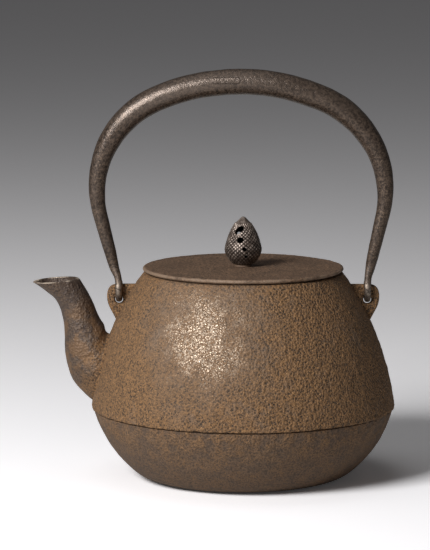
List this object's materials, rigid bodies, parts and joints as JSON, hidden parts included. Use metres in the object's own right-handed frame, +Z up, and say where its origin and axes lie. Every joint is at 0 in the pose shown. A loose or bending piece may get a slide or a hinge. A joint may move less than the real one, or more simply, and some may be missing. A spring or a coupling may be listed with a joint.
{
  "type": "cast iron tea kettle with strainer basket",
  "caption": "Round cast-iron tea kettle with a ridged body, upturned spout, swinging arched bail, flat lid with a pierced bud knob, and a hanging strainer basket.",
  "frame": {"origin": "middle of the flat base, on the kettle's own axis", "axes": "+Z up through the mouth; the spout points along -X; the bail's hinge axis runs along X through both lugs"},
  "size_m": [0.1959, 0.164, 0.2214],
  "materials": {
    "rusted_cast_iron": "rough granular casting skin with orange-brown rust",
    "lid_iron": "fine casting skin, dull brown",
    "forged_iron": "forged, semi-gloss dark brown",
    "knob_metal": "dark patinated metal, worn bright on the scales",
    "rivet_iron": "hammered dark iron",
    "strainer_steel": "brushed stainless sheet"
  },
  "bodies": {
    "kettle": {"kettle_body": "rusted_cast_iron"},
    "basket": {"infuser_rim": "strainer_steel", "infuser_wall": "strainer_steel", "infuser_band": "strainer_steel", "infuser_floor": "strainer_steel"},
    "cover": {"lid": "lid_iron", "knob_collar": "knob_metal", "lid_knob": "knob_metal", "knob_rivet": "rivet_iron", "lid_washer": "rivet_iron"},
    "handle": {"bail": "forged_iron"}
  },
  "joints": [
    {"name": "bail_swing", "type": "hinge", "parent": "kettle", "child": "handle", "pos_m": [0, 0, 0.1022], "axis": [1, 0, 0], "range_deg": [-122, 122]},
    {"name": "basket_lift", "type": "slide", "parent": "kettle", "child": "basket", "axis": [0, 0, 1], "range_m": [0, 0.048]},
    {"name": "lid_lift", "type": "slide", "parent": "basket", "child": "cover", "axis": [0, 0, 1], "range_m": [0, 0.055]}
  ]
}
